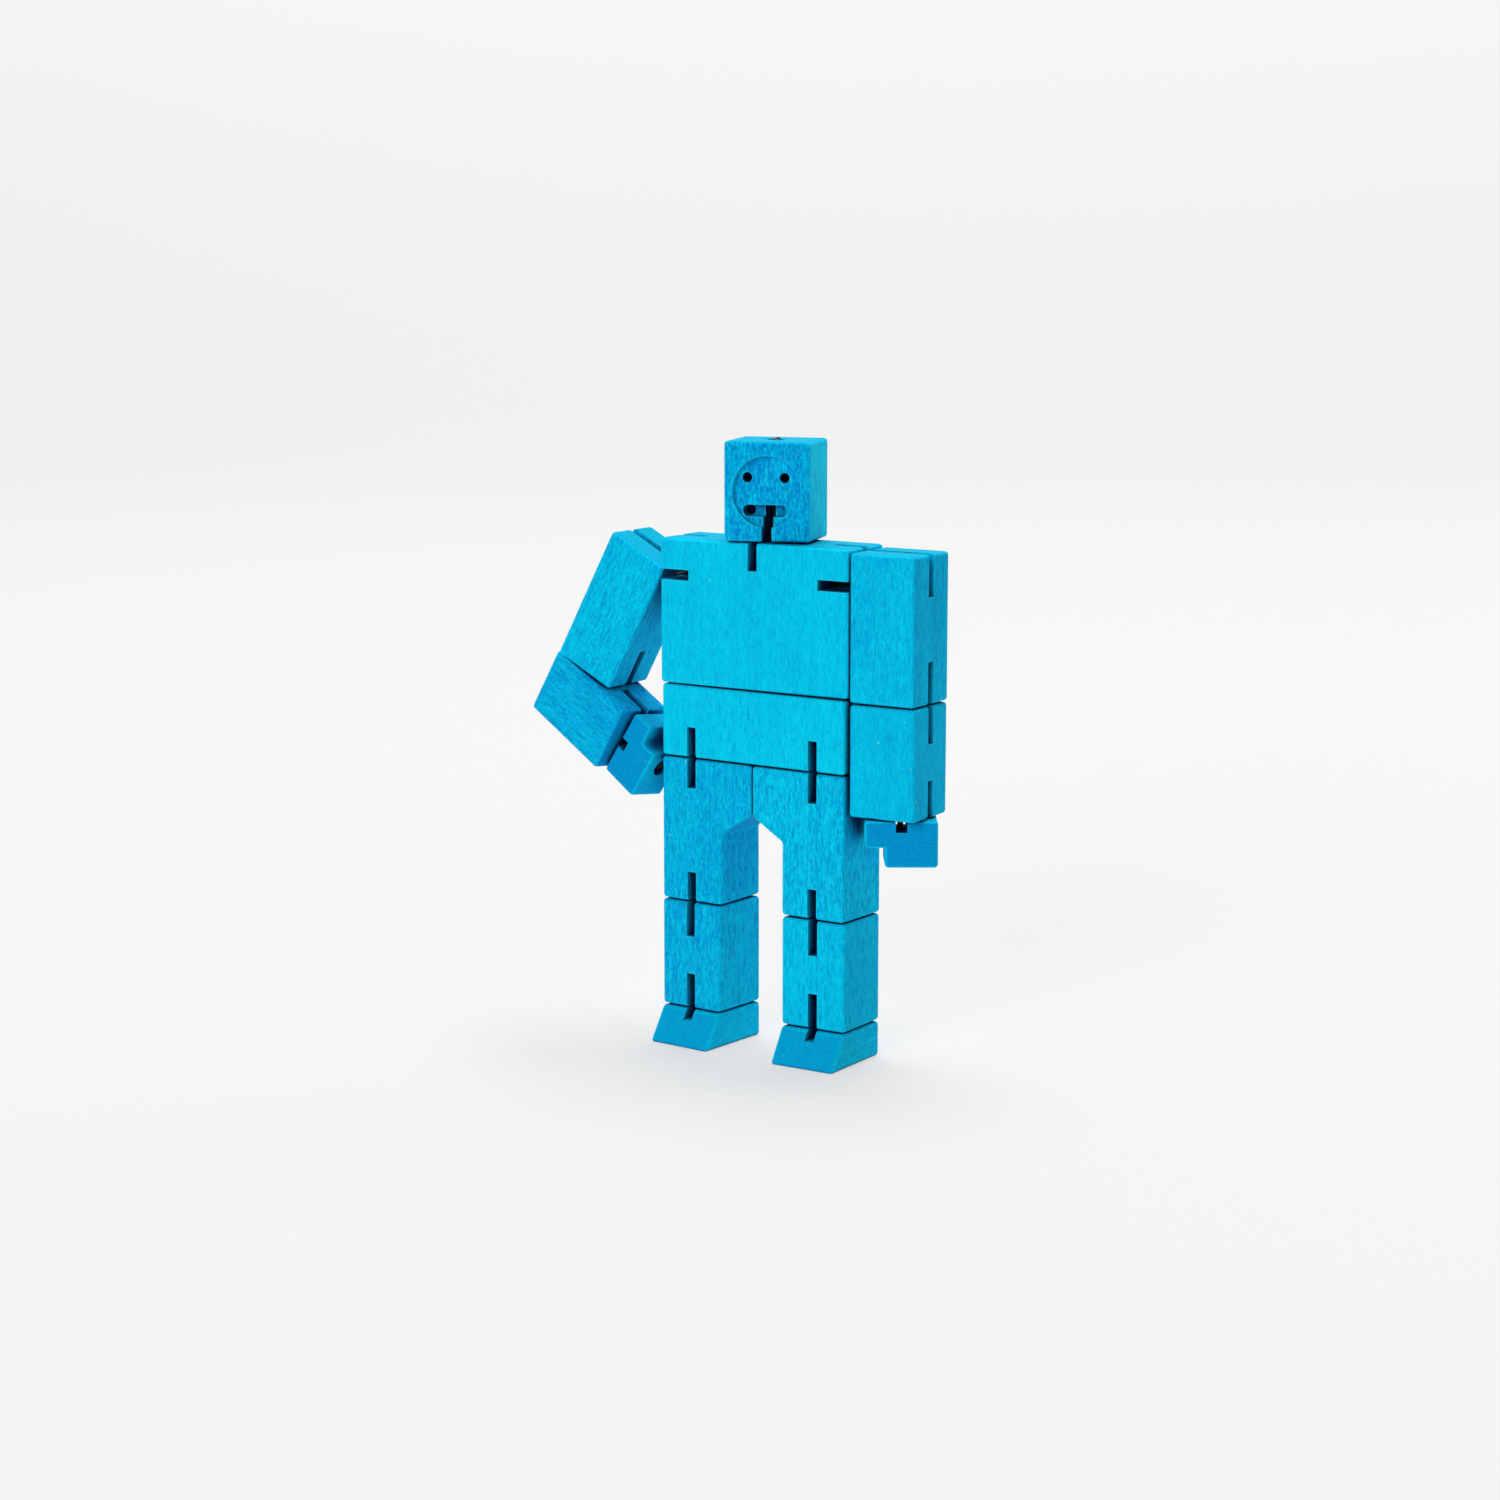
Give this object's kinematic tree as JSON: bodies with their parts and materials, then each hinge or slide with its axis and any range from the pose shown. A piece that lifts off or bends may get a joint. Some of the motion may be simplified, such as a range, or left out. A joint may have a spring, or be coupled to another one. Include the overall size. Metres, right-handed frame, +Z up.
{
  "type": "articulated wooden block robot figure",
  "caption": "Standing toy robot of square wooden blocks strung on elastic cord, with slotted joints, a round face recess and wedge feet.",
  "frame": {"origin": "centre of the bounding box at floor level, under the soles", "axes": "+Z up, -Y the way the robot faces, +X towards the robot's own left"},
  "size_m": [0.0944, 0.0212, 0.1226],
  "materials": {
    "stained_wood": "matt cyan stain on beech, the grain and its short flecks showing through",
    "elastic_cord": "black woven elastic cord, matt"
  },
  "bodies": {
    "pelvis": {"pelvis": "stained_wood", "pelvis_cord": "elastic_cord", "spine_loop": "elastic_cord"},
    "chest": {"chest": "stained_wood", "spine_cord": "elastic_cord"},
    "neck": {"neck_cord": "elastic_cord"},
    "head": {"head": "stained_wood", "head_cord": "elastic_cord", "head_knot": "elastic_cord"},
    "left_shoulder": {"left_chest_cord": "elastic_cord"},
    "left_shoulder_slider": {"left_shoulder_cord": "elastic_cord"},
    "left_upper_arm": {"left_upper_arm": "stained_wood", "left_upper_arm_cord": "elastic_cord", "left_elbow_cord": "elastic_cord"},
    "left_forearm": {"left_forearm": "stained_wood", "left_forearm_cord": "elastic_cord", "left_wrist_cord": "elastic_cord"},
    "left_wrist": {"left_hand_cord": "elastic_cord"},
    "left_hand": {"left_hand": "stained_wood", "left_hand_knot": "elastic_cord"},
    "left_thigh": {"left_thigh": "stained_wood", "left_thigh_cord": "elastic_cord"},
    "left_knee": {"left_knee_cord": "elastic_cord"},
    "left_shin": {"left_shin": "stained_wood", "left_shin_cord": "elastic_cord"},
    "left_ankle": {"left_ankle_cord": "elastic_cord"},
    "left_foot": {"left_foot": "stained_wood", "left_foot_knot": "elastic_cord"},
    "right_shoulder": {"right_chest_cord": "elastic_cord"},
    "right_shoulder_slider": {"right_shoulder_cord": "elastic_cord"},
    "right_upper_arm": {"right_upper_arm": "stained_wood", "right_upper_arm_cord": "elastic_cord"},
    "right_elbow": {"right_elbow_cord": "elastic_cord"},
    "right_elbow_slider": {"right_elbow_loop": "elastic_cord"},
    "right_forearm": {"right_forearm": "stained_wood", "right_forearm_cord": "elastic_cord", "right_wrist_cord": "elastic_cord"},
    "right_hand": {"right_hand": "stained_wood", "right_hand_cord": "elastic_cord", "right_hand_knot": "elastic_cord"},
    "right_thigh": {"right_thigh": "stained_wood", "right_thigh_cord": "elastic_cord"},
    "right_knee": {"right_knee_cord": "elastic_cord"},
    "right_shin": {"right_shin": "stained_wood", "right_shin_cord": "elastic_cord"},
    "right_ankle": {"right_ankle_cord": "elastic_cord"},
    "right_foot": {"right_foot": "stained_wood", "right_foot_knot": "elastic_cord"}
  },
  "joints": [
    {"name": "waist_twist", "type": "hinge", "parent": "pelvis", "child": "chest", "pos_m": [0.00873, 0.00091, 0], "axis": [0, 0, 1], "range_deg": [-4.5, 0.3]},
    {"name": "neck_twist", "type": "hinge", "parent": "chest", "child": "neck", "pos_m": [0.00953, 0.00156, 0.10263], "axis": [0, 0, 1], "range_deg": [-180, 180]},
    {"name": "neck_fold", "type": "hinge", "parent": "neck", "child": "head", "pos_m": [0.01157, -0.00525, 0.10263], "axis": [0.9578, 0.2874, 0], "range_deg": [0, 90]},
    {"name": "left_shoulder_swing", "type": "hinge", "parent": "chest", "child": "left_shoulder", "pos_m": [0.00873, 0.00091, 0.09523], "axis": [-1, 0, 0], "range_deg": [-180, 180]},
    {"name": "left_shoulder_slide", "type": "slide", "parent": "left_shoulder", "child": "left_shoulder_slider", "axis": [0, 0, -1], "range_m": [0, 0.01394]},
    {"name": "left_shoulder_fold", "type": "hinge", "parent": "left_shoulder_slider", "child": "left_upper_arm", "pos_m": [0.0309, 0.00091, 0.1019], "axis": [0, -1, 0], "range_deg": [0, 90]},
    {"name": "left_elbow_fold", "type": "hinge", "parent": "left_upper_arm", "child": "left_forearm", "pos_m": [0.04551, 0.00091, 0.0726], "axis": [0, -1, 0], "range_deg": [0, 90]},
    {"name": "left_wrist_fold", "type": "hinge", "parent": "left_forearm", "child": "left_wrist", "pos_m": [0.0478, 0.00091, 0.05049], "axis": [0, -1, 0], "range_deg": [0, 90]},
    {"name": "left_wrist_twist", "type": "hinge", "parent": "left_wrist", "child": "left_hand", "pos_m": [0.03909, 0.00019, 0.05033], "axis": [0, 0, 1], "range_deg": [-180, 180]},
    {"name": "right_shoulder_swing", "type": "hinge", "parent": "chest", "child": "right_shoulder", "pos_m": [0.00873, 0.00091, 0.09523], "axis": [-1, 0, 0], "range_deg": [-180, 180]},
    {"name": "right_shoulder_slide", "type": "slide", "parent": "right_shoulder", "child": "right_shoulder_slider", "axis": [0, 0, -1], "range_m": [0, 0.00771]},
    {"name": "right_shoulder_fold", "type": "hinge", "parent": "right_shoulder_slider", "child": "right_upper_arm", "pos_m": [-0.01332, 0.00265, 0.0961], "axis": [0, 1, 0], "range_deg": [0, 61.8]},
    {"name": "right_elbow_twist", "type": "hinge", "parent": "right_upper_arm", "child": "right_elbow", "pos_m": [-0.01958, 0.00265, 0.09946], "axis": [0.4726, 0, 0.8813], "range_deg": [-90, 90]},
    {"name": "right_elbow_slide", "type": "slide", "parent": "right_elbow", "child": "right_elbow_slider", "axis": [0.8668, -0.1805, -0.4648], "range_m": [0, 0.01423]},
    {"name": "right_elbow_fold", "type": "hinge", "parent": "right_elbow_slider", "child": "right_forearm", "pos_m": [-0.03958, 0.00393, 0.07694], "axis": [0.1591, 0.9836, -0.0853], "range_deg": [0, 89]},
    {"name": "right_wrist_fold", "type": "hinge", "parent": "right_forearm", "child": "right_hand", "pos_m": [-0.02772, -0.00001, 0.05357], "axis": [0.1591, 0.9836, -0.0853], "range_deg": [0, 14]},
    {"name": "left_hip_fold", "type": "hinge", "parent": "pelvis", "child": "left_thigh", "pos_m": [0.00848, -0.00605, 0.05853], "axis": [-0.9993, 0.0366, 0], "range_deg": [0, 150]},
    {"name": "left_knee_fold", "type": "hinge", "parent": "left_thigh", "child": "left_knee", "pos_m": [0.02349, 0.00777, 0.02923], "axis": [0.9993, -0.0366, 0], "range_deg": [0, 165]},
    {"name": "left_knee_twist", "type": "hinge", "parent": "left_knee", "child": "left_shin", "pos_m": [0.02322, 0.00038, 0.02923], "axis": [0, 0, 1], "range_deg": [-90, 90]},
    {"name": "left_ankle_fold", "type": "hinge", "parent": "left_shin", "child": "left_ankle", "pos_m": [0.02321, -0.00702, 0.00718], "axis": [-1, 0.0017, 0], "range_deg": [0, 90]},
    {"name": "left_ankle_twist", "type": "hinge", "parent": "left_ankle", "child": "left_foot", "pos_m": [0.02322, 0.00038, 0.00718], "axis": [0, 0, -1], "range_deg": [-90, 90]},
    {"name": "right_hip_fold", "type": "hinge", "parent": "pelvis", "child": "right_thigh", "pos_m": [0.00848, -0.00605, 0.05853], "axis": [-0.9993, 0.0366, 0], "range_deg": [0, 150]},
    {"name": "right_knee_fold", "type": "hinge", "parent": "right_thigh", "child": "right_knee", "pos_m": [-0.00549, 0.00884, 0.02923], "axis": [0.9993, -0.0366, 0], "range_deg": [0, 165]},
    {"name": "right_knee_twist", "type": "hinge", "parent": "right_knee", "child": "right_shin", "pos_m": [-0.00576, 0.00144, 0.02923], "axis": [0, 0, -1], "range_deg": [-90, 90]},
    {"name": "right_ankle_fold", "type": "hinge", "parent": "right_shin", "child": "right_ankle", "pos_m": [-0.00635, -0.00593, 0.00718], "axis": [-0.9968, 0.0802, 0], "range_deg": [0, 90]},
    {"name": "right_ankle_twist", "type": "hinge", "parent": "right_ankle", "child": "right_foot", "pos_m": [-0.00576, 0.00144, 0.00718], "axis": [0, 0, 1], "range_deg": [-90, 90]}
  ],
  "couplings": [
    {"joint": "left_shoulder_slide", "follows": "left_shoulder_fold", "m_per_rad": 0.0088617},
    {"joint": "right_shoulder_slide", "follows": "right_shoulder_fold", "m_per_rad": 0.0071249},
    {"joint": "right_elbow_slide", "follows": "right_elbow_fold", "m_per_rad": 0.009148}
  ]
}
